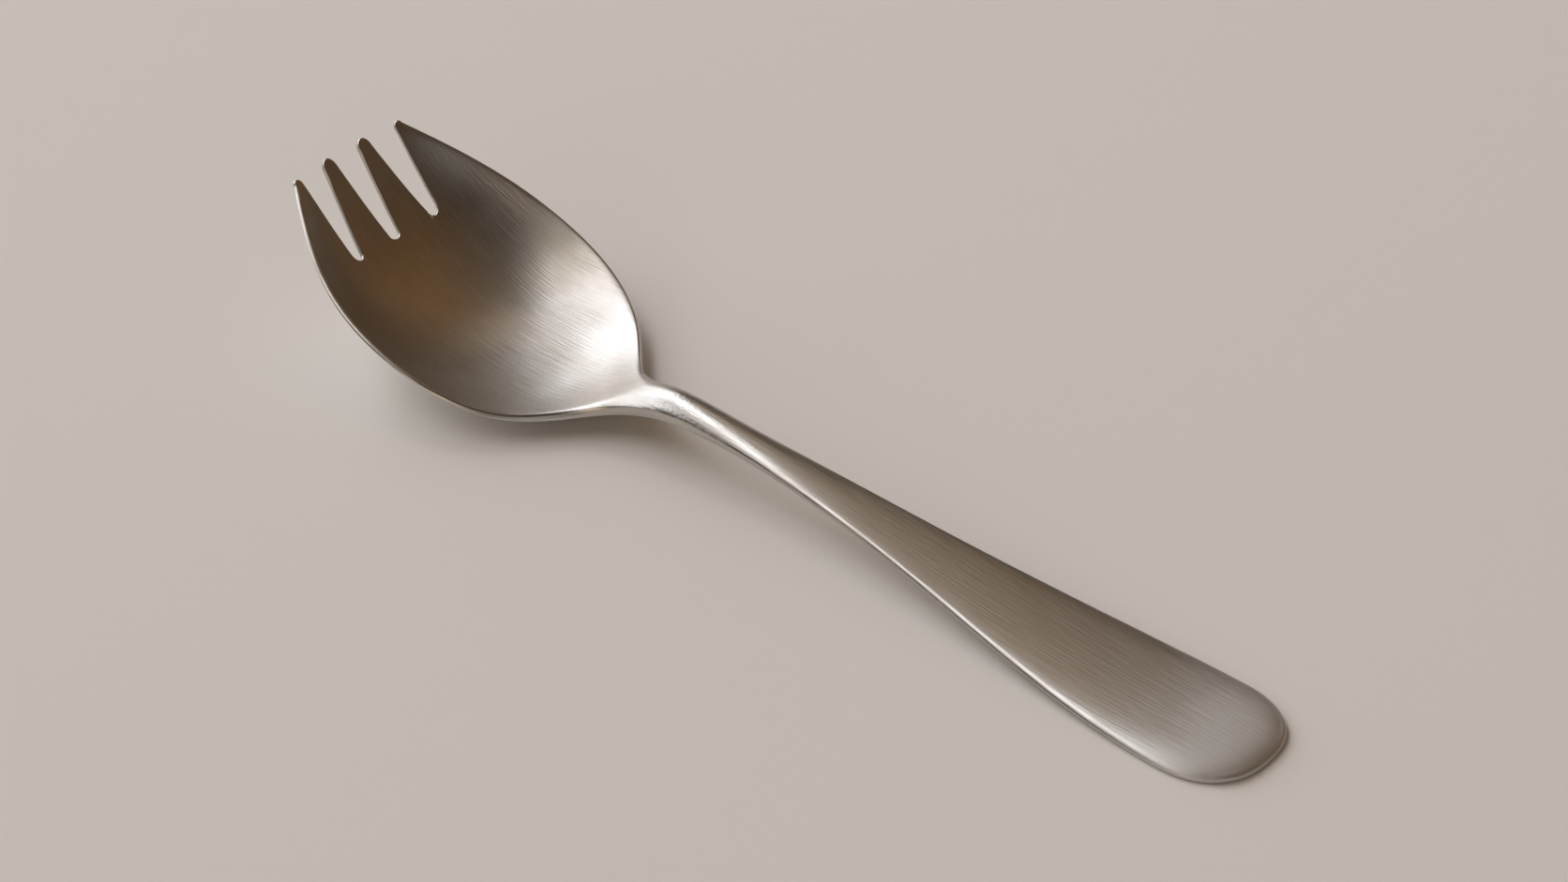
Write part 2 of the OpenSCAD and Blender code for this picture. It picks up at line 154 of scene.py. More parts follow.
class StageLook(bpy.types.PropertyGroup):
    """Floor, air, lamp and camera."""
    floor: colour("Floor", "#F0ECE6", "Colour of the plain floor")
    floor_r: length("Floor radius", 2500, "Radius of the round floor")
    air: FloatProperty(name="Air", description="Strength of the soft light all round", default=1, min=0)
    window: FloatProperty(name="Window lamp", description="Brightness of its face", default=1.8, min=0)
    lens: FloatProperty(name="Lens", description="Focal length in millimetres, for a sensor 36 mm wide",
                        default=90, min=1)
    azimuth: FloatProperty(name="Azimuth", description="Direction of the view; 0 looks along the spork",
                           default=radians(-49.587), subtype="ANGLE")
    elevation: FloatProperty(name="Elevation", description="How far the camera looks down",
                             default=radians(37.837), subtype="ANGLE")
    eye: FloatVectorProperty(name="Eye", description="Place of the camera", size=3, subtype="TRANSLATION",
                             default=(-349.82 * MM, -299.75 * MM, 369.23 * MM))


# Direction of the window lamp beyond the tines, in degrees: azimuth clockwise from +Y, and elevation
WINDOW_AZIMUTH = -2
WINDOW_ELEVATION = 22
# Its width, height and distance from the spork in metres, and the slightly blue colour of daylight
WINDOW_SIZE = (4.0, 1.84)
WINDOW_DISTANCE = 2.4
WINDOW_COLOUR = "#F8FAFF"
# Soft glows in the air: azimuth, elevation and spread in degrees, colour, and brightness in the middle
GLOWS = [
    (13, 45, 8.5, "#F8F9FF", 5.8),
    (-18, 59, 9, "#F8F9FF", 4.3),
    (-48, 40, 14, "#FFFAF4", 0.7),
    (-60, 60, 10, "#FFF8F0", 3.0),
    (-98, 20, 16, "#FFEBD8", 1.6),
    (48, 59, 15, "#FFEAD2", 0.44),
    (110, 80, 18, "#FFECD8", 0.08),
    (45, 30, 50, "#FFE6C8", 0.08),
    (112, 44, 30, "#FFB45C", 0.17),
    (115, 4, 13, "#FFFAF4", 0.08),
    (160, 6, 16, "#FFFAF4", 0.3),
    (-150, 8, 22, "#FFFAF4", 0.6),
]
# Colour of the air where no glow reaches
DIM_AIR = "#2B231C"
# Number of sides of the round floor, width of the sensor and where the view begins, in millimetres
FLOOR_SIDES = 96
SENSOR_W = 36
VIEW_START = 10
# Matt paper: length of its fibres and their depth in millimetres, strength of their dents, and roughness
FIBRE_L = 2.5
FIBRE_DEPTH = 0.1
FIBRE_STRENGTH = 0.05
FIBRE_DETAIL = 2.0
PAPER_ROUGHNESS = 0.9

# How the finish of the steel is mixed

# Detail of its patterns: how many finer layers each has
BRUSH_DETAIL = 2.0
SCRATCH_DETAIL = 0.0
PATCH_DETAIL = 3.0
DIMPLE_DETAIL = 1.0
# Turn of the scratches from the grain in degrees, and the range of the pattern over which they deepen
SCRATCH_TURN = 14
SCRATCH_RANGE = (0.74, 0.82)
# How much the painted light at the handle's end and the streaks add to the patches, and the range from toned
# to bright steel
HANDLED_PAINTED_LIGHT_SHARE = 0.6
STREAK_WEAR_SHARE = 0.35
WEAR_AND_PAINTED_LIGHT_RANGE = (0.4, 0.95)
# The range of the patches over which the roughness changes, and how far it goes up and down
PATCH_RANGE = (0.3, 0.7)
PATCH_ROUGHNESS = 0.05
# How much the roughness changes over a brush line, and how much smoother the neck and the edges are
LINE_ROUGHNESS = 0.12
FORGED_SMOOTHING = 0.05
EDGE_SMOOTHING = 0.08

# Tables of shares: how the sizes change between the named places

# From the widest place of the handle to the neck: shares of the way, and of the width left
HANDLE_WIDTH_SHARES = [(0.265, 0.739), (0.543, 0.32), (0.775, 0.085)]
# From the neck to the widest place of the bowl: shares of the way, and of the width gained
BOWL_WIDTH_SHARES = [(0.257, 0.04), (0.448, 0.221), (0.6, 0.633), (0.79, 0.926)]
# From there to the tips: shares of the way, and of the width left
FRONT_WIDTH_SHARES = [(0.5, 0.755)]
# The rim would have this share of the distance between the outer tips, if it ran on to the middle tips
RIM_SPREAD_SHARE = 0.975
# Width at the very end of the handle, before it is rounded, as a share of its greatest width
END_WIDTH_SHARE = 0.985
# From the widest place of the handle to the neck: shares of the way, and of the climb
HANDLE_RISE_SHARES = [(0.265, 0.19), (0.543, 0.57), (0.775, 0.855)]
# From the neck down to the lowest place of the rim: shares of the way, and of the drop
HEEL_DROP_SHARES = [(0.51, 0.215)]
# From there to the tips: shares of the way, and of the climb
RIM_RISE_SHARES = [(0.279, 0.14), (0.484, 0.321), (0.745, 0.61)]
# The hollow's middle line from the ridge down to its floor: shares of the way, and of the drop left
BACK_WALL_SHARES = [(-0.218, 1.54), (0, 1), (0.145, 0.681), (0.327, 0.337), (0.545, 0.104), (0.85, 0.006)]
# From its floor to the tips: shares of the way, and of the climb
FRONT_WALL_SHARES = [(0.1, 0.007), (0.29, 0.075), (0.481, 0.228), (0.693, 0.473), (0.848, 0.724), (1, 1)]
# How square the hollow's section is, from 0 for a parabola to 1 for a flat floor with steep sides
HOLLOW_SQUARE_SHARES = [(0, 0.1), (0.47, 0.15), (0.7, 0.3), (0.88, 0.7), (1, 0.8)]
# How square the upper face's section is on the paddle and on the neck
PADDLE_SQUARE_SHARE = 0.5
NECK_SQUARE_SHARE = 0.1
# Exponents of the steep part of those sections, and of the rounded end's outline
HOLLOW_POWER = 4
FACE_POWER = 8
END_POWER = 2.4
# The face of the handle is lifted by this share of its belly, so that the rest is pressed flat
BELLY_LIFT_SHARE = 0.33
# The bowl is pressed flat on the table by this share of its thickness
FLOOR_PRESS_SHARE = 0.05
# The hollow fades out at the rim over this share of the ridge's rounding
LIP_ROUND_SHARE = 2
# The crown of the ridge, of the heel and of the rim, as shares of the neck's
RIDGE_CROWN_SHARE = 1.4
HEEL_CROWN_SHARE = 0.7
RIM_CROWN_SHARE = 0.25

# Numbers of faces across an outer tine, a slot and a middle tine, and along the parts
OUTER_FACES = 14
SLOT_FACES = 10
MID_FACES = 14
HANDLE_ROWS = 170
BOWL_ROWS = 190
TINE_ROWS = 36
SIDE_FACES = 14
# Number of points along the middle line, from which the length of the grain is measured
LINE_POINTS = 2000
# The rows crowd together at the handle's end: the first gap is this share of an even one
CROWDING_SHARE = 0.4
# Where the grid's first corners stand, as a share of the rounded end, and how far its rows are bent, as
# shares of the paddle's length and of a slot's width
CORNER_SHARE = 0.32
END_FADE_SHARE = 2
SLOT_FADE_SHARE = 4
# How suddenly the rows of a tine turn round its tip
TIP_POWER = 3
# A cubic arc whose two arms are parallel bulges by this share of their length
ARC_BULGE_SHARE = 0.75
# Length of the step over which slopes are found
STEP = 0.02 * MM


class Curve:
    """Natural cubic spline through places and values, carried on as straight lines past its ends."""

    def __init__(self, pairs):
        self.places, self.values = np.array(pairs, dtype=float).T
        gaps = np.diff(self.places)
        turns = 6 * np.diff(np.diff(self.values) / gaps)
        inner = np.diag(2 * (gaps[:-1] + gaps[1:])) + np.diag(gaps[1:-1], 1) + np.diag(gaps[1:-1], -1)
        self.bends = np.zeros(len(self.places))
        self.bends[1:-1] = np.linalg.solve(inner, turns)

    def __call__(self, y):
        """Values at y: on the straight line between two places, less the sag that their bends give."""
        i = np.clip(np.searchsorted(self.places, y, side="right") - 1, 0, len(self.places) - 2)
        gap = self.places[i + 1] - self.places[i]
        way = (y - self.places[i]) / gap
        inside = np.clip(way, 0, 1)
        rise = self.values[i + 1] - self.values[i]
        left, right = self.bends[i], self.bends[i + 1]
        sag = gap * gap / 6
        value = self.values[i] + inside * rise
        value = value - sag * inside * (1 - inside) * ((2 - inside) * left + (1 + inside) * right)
        slope = rise + sag * np.where(way < 0, -2 * left - right, left + 2 * right)
        return value + (way - inside) * slope


def between(from_y, to_y, from_v, to_v, shares):
    """Places and values between two given ones, from a table of shares."""
    return [(from_y + way * (to_y - from_y), from_v + gain * (to_v - from_v)) for way, gain in shares]


def mixed(a, b, way):
    """The value at a share of the way from a to b."""
    return a + way * (b - a)


def lower_of(a, b, r):
    """The lower of two heights, joined smoothly: minus r times the log of the sum of exp(-height / r)."""
    return -r * np.logaddexp(-a / r, -b / r)


def upper_of(a, b, r):
    """The higher of two heights, joined smoothly: the same law upside down."""
    return -lower_of(-a, -b, r)


def section(u, square, power):
    """From 0 in the middle to 1 at the edges: a parabola mixed with a steeper power of u."""
    return (1 - square) * u ** 2 + square * u ** power


def unit(v):
    """Vectors of length 1: each is divided by its own length."""
    return v / np.linalg.norm(v, axis=-1, keepdims=True)


class Sheet:
    """The two faces of the spork, as heights over its plan.

    The upper face is the lower of two surfaces, joined smoothly: a crowned one, which is the height of the
    edges plus a crown that falls to nothing at the outline, and a hollow one, whose middle line is the bowl's
    and whose section rises to the edges. The underside stands square under the sheet, one thickness away,
    and is cut off at the table.
    """

    def __init__(self, s):
        self.s = s
        neck_y = s.handle_l
        ridge_y = neck_y + s.ridge_l
        heel_y = neck_y + s.heel_l
        floor_y = heel_y + s.floor_l
        wide_y = heel_y + s.belly_l
        self.slot_y = heel_y + s.bowl_l
        self.tip_y = self.slot_y + s.tine_l
        self.root_y = self.slot_y + s.slot_w / 2
        self.bowl_start_y = neck_y + s.ridge_l / 2
        handle_h = s.handle_wall + BELLY_LIFT_SHARE * s.handle_belly
        floor_h = (1 - FLOOR_PRESS_SHARE) * (s.bowl_wall + s.bowl_belly)
        rim_x = RIM_SPREAD_SHARE * s.outer_spread / 2

        self.half_width = Curve(
            [(0, END_WIDTH_SHARE * s.handle_w / 2), (s.paddle_l, s.handle_w / 2)]
            + between(s.paddle_l, neck_y, s.neck_w / 2, s.handle_w / 2, HANDLE_WIDTH_SHARES)
            + [(neck_y, s.neck_w / 2)]
            + between(neck_y, wide_y, s.neck_w / 2, s.bowl_w / 2, BOWL_WIDTH_SHARES)
            + [(wide_y, s.bowl_w / 2)]
            + between(wide_y, self.tip_y, rim_x, s.bowl_w / 2, FRONT_WIDTH_SHARES)
            + [(self.tip_y, rim_x)])
        self.edge_height = Curve(
            [(0, handle_h), (s.paddle_l, handle_h)]
            + between(s.paddle_l, neck_y, handle_h, s.neck_h, HANDLE_RISE_SHARES)
            + [(neck_y, s.neck_h)]
            + between(neck_y, heel_y, s.neck_h, s.rim_h, HEEL_DROP_SHARES)
            + [(heel_y, s.rim_h)]
            + between(heel_y, self.tip_y, s.rim_h, s.rim_tip_h, RIM_RISE_SHARES)
            + [(self.tip_y, s.rim_tip_h)])
        self.hollow_height = Curve(
            between(ridge_y, floor_y, floor_h, s.ridge_h, BACK_WALL_SHARES)
            + [(floor_y, floor_h)]
            + between(floor_y, self.tip_y, floor_h, s.tip_h, FRONT_WALL_SHARES))
        self.hollow_square = Curve(between(ridge_y, self.tip_y, 0, 1, HOLLOW_SQUARE_SHARES))
        self.face_square = Curve(
            [(s.paddle_l, PADDLE_SQUARE_SHARE), (neck_y, NECK_SQUARE_SHARE), (self.tip_y, NECK_SQUARE_SHARE)])
        self.crown = Curve(
            [(0, s.handle_crown), (s.paddle_l, s.handle_crown), (neck_y, s.neck_crown),
             (ridge_y, RIDGE_CROWN_SHARE * s.neck_crown), (heel_y, HEEL_CROWN_SHARE * s.neck_crown),
             (floor_y, RIM_CROWN_SHARE * s.neck_crown), (self.tip_y, RIM_CROWN_SHARE * s.neck_crown)])
        self.wall = Curve(
            [(0, s.handle_wall), (s.paddle_l, s.handle_wall), (neck_y, s.neck_wall), (ridge_y, s.heel_wall),
             (floor_y, s.bowl_wall), (wide_y, s.bowl_wall),
             (self.slot_y, (s.bowl_wall + s.tine_wall) / 2), (self.tip_y, s.tine_wall)])
        self.belly = Curve(
            [(0, s.handle_belly), (neck_y, s.handle_belly), (ridge_y, s.handle_belly),
             (floor_y, s.bowl_belly), (wide_y, s.bowl_belly), (self.slot_y, 0), (self.tip_y, 0)])
        self.side_edge = Curve(
            [(0, s.handle_edge), (s.paddle_l, s.handle_edge), (neck_y, s.neck_edge), (heel_y, s.rim_edge),
             (floor_y, s.rim_edge), (self.tip_y, s.rim_edge)])

    def outness(self, x, y):
        """0 in the middle and 1 on the outline, the rounded end of the handle included.

        It is a root of the sum of two powers: of the share across, and of the share into the rounded end.
        """
        across = (np.abs(x) / self.half_width(y)) ** END_POWER
        back = np.maximum(0, 1 - y / self.s.end_round_l) ** END_POWER
        return np.minimum(1, (across + back) ** (1 / END_POWER))

    def depth(self, y):
        """Depth of the hollow below the edges, never less than nothing."""
        return upper_of(self.edge_height(y) - self.hollow_height(y), 0, LIP_ROUND_SHARE * self.s.ridge_round)

    def height(self, x, y):
        """The bent sheet without its crown: below the edges by the depth times 1 minus the section."""
        u = np.abs(x) / self.half_width(y)
        return self.edge_height(y) - self.depth(y) * (1 - section(u, self.hollow_square(y), HOLLOW_POWER))

    def upper(self, x, y):
        """Points of the upper face over places in the plan."""
        edge = self.edge_height(y)
        # The hollow is its middle line plus its depth times the section
        hollow = self.height(x, y) + self.hollow_height(y) + self.depth(y) - edge
        rise = 1 - section(self.outness(x, y), self.face_square(y), FACE_POWER)
        crowned = edge + self.crown(y) * rise
        return np.stack([x, y, lower_of(crowned, hollow, self.s.ridge_round)], axis=-1)

    def lower(self, x, y):
        """Points of the underside: square under the sheet, one thickness away, and not below the table."""
        thick = self.wall(y) + self.belly(y) * (1 - self.outness(x, y) ** 2)
        square = unit(np.stack([
            self.height(x - STEP, y) - self.height(x + STEP, y),
            self.height(x, y - STEP) - self.height(x, y + STEP),
            np.full_like(x, 2 * STEP),
        ], axis=-1))
        under = np.stack([x, y, self.height(x, y)], axis=-1) - thick[..., None] * square
        under[..., 2] = np.maximum(0, under[..., 2])
        return under


def round_share(way):
    """Shares that crowd towards both ends, as the steps of a half turn do."""
    return (1 - np.cos(np.pi * way)) / 2


class Comb:
    """The plan of the spork as one grid with four tines.

    The body is a grid of rows and columns that fills the outline: X is the column's share of the half width
    there. At the handle's end the rows bend back round the outline, and before the slots they bend round the
    slots' bottoms. A tine carries on its columns between its two straight edges, and its last rows bulge
    into a round tip.
    """

    def __init__(self, sheet):
        s = sheet.s
        self.sheet = sheet
        slot_half = s.slot_w / 2
        self.mid_root = (slot_half, s.slot_spread / 2 - slot_half)
        self.mid_tip = (s.mid_spread / 2 - s.mid_tip_w / 2, s.mid_spread / 2 + s.mid_tip_w / 2)
        self.outer_root = s.slot_spread / 2 + slot_half
        self.outer_tip = s.outer_spread / 2 - s.outer_tip_w / 2
        self.tine_faces = [OUTER_FACES, MID_FACES, MID_FACES, OUTER_FACES]

        roots = [self.edges(t, sheet.root_y) for t in range(4)]
        column_x = [self.spread(roots[0], OUTER_FACES)]
        for t in (1, 2, 3):
            column_x.append(self.spread((roots[t - 1][1], roots[t][0]), SLOT_FACES)[1:])
            column_x.append(self.spread(roots[t], self.tine_faces[t])[1:])
        column_x = np.concatenate(column_x)
        columns = len(column_x) - 1
        self.first_columns = np.cumsum([0] + [n + SLOT_FACES for n in self.tine_faces[:3]])

        body_x, body_y = self.body(column_x, roots[3][1])
        rows = len(body_x) - 1
        self.body_ids = np.arange(body_x.size).reshape(body_x.shape)
        places = [np.stack([body_x, body_y], axis=-1).reshape(-1, 2)]
        made = body_x.size
        self.tine_ids = []
        for t in range(4):
            tine = self.tine(t)
            ids = made + np.arange(tine.shape[0] * tine.shape[1]).reshape(tine.shape[:2])
            first = self.first_columns[t]
            root = self.body_ids[rows, first:first + self.tine_faces[t] + 1]
            self.tine_ids.append(np.vstack([root, ids]))
            places.append(tine.reshape(-1, 2))
            made += ids.size
        self.places = np.concatenate(places)
        self.outline = self.ring(rows, columns)

    def is_outer(self, t):
        """Whether tine t, counted from the left, is one of the two outer ones."""
        return t in (0, 3)

    def end_of(self, t):
        """Y where a tine's straight edges end and its round tip begins."""
        s = self.sheet.s
        if self.is_outer(t):
            return self.sheet.tip_y - s.outer_set_back - s.outer_tip_w / 2
        return self.sheet.tip_y - s.mid_tip_w / 2

    def edges(self, t, y):
        """X of the left and the right edge of tine t.

        They run straight from the root to the tip; the outer edge of an outer tine is the outline.
        """
        way = (y - self.sheet.root_y) / (self.end_of(t) - self.sheet.root_y)
        if self.is_outer(t):
            inner = mixed(self.outer_root, self.outer_tip, way)
            outer = self.sheet.half_width(y)
        else:
            inner = mixed(self.mid_root[0], self.mid_tip[0], way)
            outer = mixed(self.mid_root[1], self.mid_tip[1], way)
        return (-outer, -inner) if t < 2 else (inner, outer)

    def spread(self, ends, n):
        """X of the columns across a tine or a slot, closer together beside its edges."""
        return mixed(ends[0], ends[1], round_share(np.linspace(0, 1, n + 1)))

    def body(self, column_x, root_x):
        """X and Y of the grid from the handle's end to the roots of the tines."""
        s, sheet = self.sheet.s, self.sheet
        corner_y = CORNER_SHARE * s.end_round_l
        way = np.linspace(0, 1, HANDLE_ROWS, endpoint=False)
        handle_y = mixed(corner_y, sheet.bowl_start_y, way * mixed(CROWDING_SHARE, 1, way))
        bowl_y = np.linspace(sheet.bowl_start_y, sheet.root_y, BOWL_ROWS + 1)
        y = np.concatenate([handle_y, bowl_y])[:, None]

        def width_share(at_y):
            """Share of the width that the rounded end leaves at a place."""
            return (1 - np.maximum(0, 1 - at_y / s.end_round_l) ** END_POWER) ** (1 / END_POWER)

        def fade(gap, reach):
            """From 1 at no gap to 0 at the reach, as a square."""
            return np.maximum(0, 1 - gap / reach) ** 2

        def in_slot(gap):
            """Depth of a half circle as wide as a slot, at a gap from its middle."""
            return s.slot_w / 2 * np.sqrt(np.maximum(0, 1 - (gap / (s.slot_w / 2)) ** 2))

        x_share = np.abs(column_x) / root_x * width_share(corner_y)
        back = s.end_round_l * (1 - (1 - x_share ** END_POWER) ** (1 / END_POWER)) - corner_y
        mid_dip = (1 - s.mid_slot_set_on / (s.slot_w / 2)) * in_slot(column_x)
        dip = mid_dip + in_slot(column_x - s.slot_spread / 2) + in_slot(column_x + s.slot_spread / 2)
        x = column_x / root_x * sheet.half_width(y) * width_share(y)
        bent = y + back * fade(y - corner_y, END_FADE_SHARE * s.paddle_l)
        return x, bent - dip * fade(sheet.root_y - y, SLOT_FADE_SHARE * s.slot_w)

    def tine(self, t):
        """Places of a tine beyond its root, row by row, ending in a round tip."""
        s = self.sheet.s
        way = np.linspace(0, 1, TINE_ROWS + 1)[1:, None]
        y = mixed(self.sheet.root_y, self.end_of(t), way)
        left, right = self.edges(t, y)
        across = round_share(np.linspace(0, 1, self.tine_faces[t] + 1))
        tip_w = s.outer_tip_w if self.is_outer(t) else s.mid_tip_w
        bulge = tip_w * np.sqrt(across * (1 - across)) * way ** TIP_POWER
        return np.stack([mixed(left, right, across), y + bulge], axis=-1)

    def ring(self, rows, columns):
        """The outline, once round: the handle's end, the right side, the tines and the left side."""
        def loop(t):
            """Up the right edge of tine t, back over its tip and down its left edge."""
            ids = self.tine_ids[t]
            return [ids[1:, -1], ids[-1, -2::-1], ids[-2:0:-1, 0], ids[:1, 0]]

        parts = [self.body_ids[0], self.body_ids[1:, columns]] + loop(3)
        for t in (2, 1, 0):
            first = self.first_columns[t + 1]
            parts.append(self.body_ids[rows, first - 1:first - SLOT_FACES - 1:-1])
            parts += loop(t)
        parts.append(self.body_ids[rows - 1:0:-1, 0])
        return np.concatenate(parts)

    def cells(self):
        """Corners of every four-sided face of the plan, anticlockwise."""
        grids = [self.body_ids] + self.tine_ids
        around = [np.stack([g[:-1, :-1], g[:-1, 1:], g[1:, 1:], g[1:, :-1]], axis=-1) for g in grids]
        return np.concatenate([corners.reshape(-1, 4) for corners in around])


def side_wall(sheet, comb, upper, lower):
    """The round side wall: cubic arcs from the upper edge to the lower one, all round the outline.

    Each arc leaves the upper face and meets the lower one along the faces' own slopes, so no crease shows.
    Its two arms are as long as makes it bulge by the named distance.
    """
    ids = comb.outline
    x, y = comb.places[ids].T
    along = np.roll(comb.places[ids], -1, axis=0) - np.roll(comb.places[ids], 1, axis=0)
    out = unit(np.stack([along[:, 1], -along[:, 0]], axis=-1))
    in_x, in_y = x - STEP * out[:, 0], y - STEP * out[:, 1]
    arm = (sheet.side_edge(y) / ARC_BULGE_SHARE)[:, None]
    top, foot = upper[ids], lower[ids]
    top_arm = top + arm * unit(sheet.upper(x, y) - sheet.upper(in_x, in_y))
    foot_arm = foot + arm * unit(sheet.lower(x, y) - sheet.lower(in_x, in_y))
    t = np.linspace(0, 1, SIDE_FACES + 1)[:, None, None]
    return ((1 - t) ** 3 * top + 3 * t * (1 - t) ** 2 * top_arm
            + 3 * t ** 2 * (1 - t) * foot_arm + t ** 3 * foot)


def spork_surface(sizes, handled_and_lit_l, forged_l):
    """Points, faces, grain coordinates and finish shares of the closed spork, centred on its length.

    Both faces stand over the comb and the side wall closes them. A share says how much of an edge, of
    handling and painted light at the handle's end, or of forging a point has, from 0 to 1.
    """
    sheet = Sheet(sizes)
    comb = Comb(sheet)
    x, y = comb.places.T
    upper, lower = sheet.upper(x, y), sheet.lower(x, y)
    sides = side_wall(sheet, comb, upper, lower)
    n = len(upper)
    around = len(comb.outline)
    inner_ids = 2 * n + np.arange((SIDE_FACES - 1) * around).reshape(-1, around)
    rings = np.vstack([comb.outline, inner_ids, n + comb.outline])
    rings = np.hstack([rings, rings[:, :1]])

    cells = comb.cells()
    walls = np.stack([rings[:-1, :-1], rings[1:, :-1], rings[1:, 1:], rings[:-1, 1:]], axis=-1).reshape(-1, 4)
    faces = np.concatenate([cells, n + cells[:, ::-1], walls])
    points = np.concatenate([upper, lower, sides[1:-1].reshape(-1, 3)])

    # The grain runs along the spork: U is the distance across it and V the distance along its middle line
    line_y = np.linspace(0, sheet.tip_y, LINE_POINTS)
    line = sheet.upper(np.zeros_like(line_y), line_y)
    run = np.concatenate([[0], np.cumsum(np.linalg.norm(np.diff(line, axis=0), axis=1))])
    v = np.interp(y, line_y, run)
    slope = np.abs(sheet.height(x + STEP, y) - sheet.height(x - STEP, y)) / (2 * STEP)
    u = x * np.sqrt(1 + slope ** 2)
    grain = np.stack([u, v], axis=-1)
    # On the side wall it runs along the outline
    edge = points[comb.outline]
    steps = np.linalg.norm(np.roll(edge, -1, axis=0) - edge, axis=1)
    ring_v = np.concatenate([[0], np.cumsum(steps)])
    ring_u = np.linspace(0, sizes.neck_wall, SIDE_FACES + 1)
    ring_uv = np.stack(np.broadcast_arrays(ring_u[:, None], ring_v[None, :]), axis=-1)
    wall_uv = np.stack([ring_uv[:-1, :-1], ring_uv[1:, :-1], ring_uv[1:, 1:], ring_uv[:-1, 1:]], axis=2)
    uv = np.concatenate([grain[cells].reshape(-1, 2), grain[cells[:, ::-1]].reshape(-1, 2),
                         wall_uv.reshape(-1, 2)])
    edge_share = np.zeros(len(points))
    edge_share[inner_ids] = np.sin(np.pi * np.arange(1, SIDE_FACES) / SIDE_FACES)[:, None]
    # The handle's end is rougher from hands and is painted brighter as a pool of light; that share falls off
    # from the handle's end as a bell curve does, and so do the dimples from halfway between the neck and the
    # ridge
    handled_and_lit_share = np.exp(-(points[:, 1] / handled_and_lit_l) ** 2)
    forged_share = np.exp(-((points[:, 1] - sheet.bowl_start_y) / forged_l) ** 2)

    points[:, 1] -= (points[:, 1].min() + points[:, 1].max()) / 2
    shares = {"edge": edge_share, "handled_and_lit": handled_and_lit_share, "forged": forged_share}
    return points, faces, uv, shares


def add(tree, kind, feeds=None, **settings):
    """Add a node with its settings; feeds gives an input its value, or links it to another node's socket."""
    node = tree.nodes.new(kind)
    for name, value in settings.items():
        setattr(node, name, value)
    for name, value in (feeds or {}).items():
        if isinstance(value, bpy.types.NodeSocket):
            tree.links.new(value, node.inputs[name])
        else:
            node.inputs[name].default_value = value
    return node


def new_material(name):
    """An empty node material with its output."""
    material = bpy.data.materials.new(name)
    material.use_nodes = True
    tree = material.node_tree
    tree.nodes.clear()
    return material, tree, add(tree, "ShaderNodeOutputMaterial")


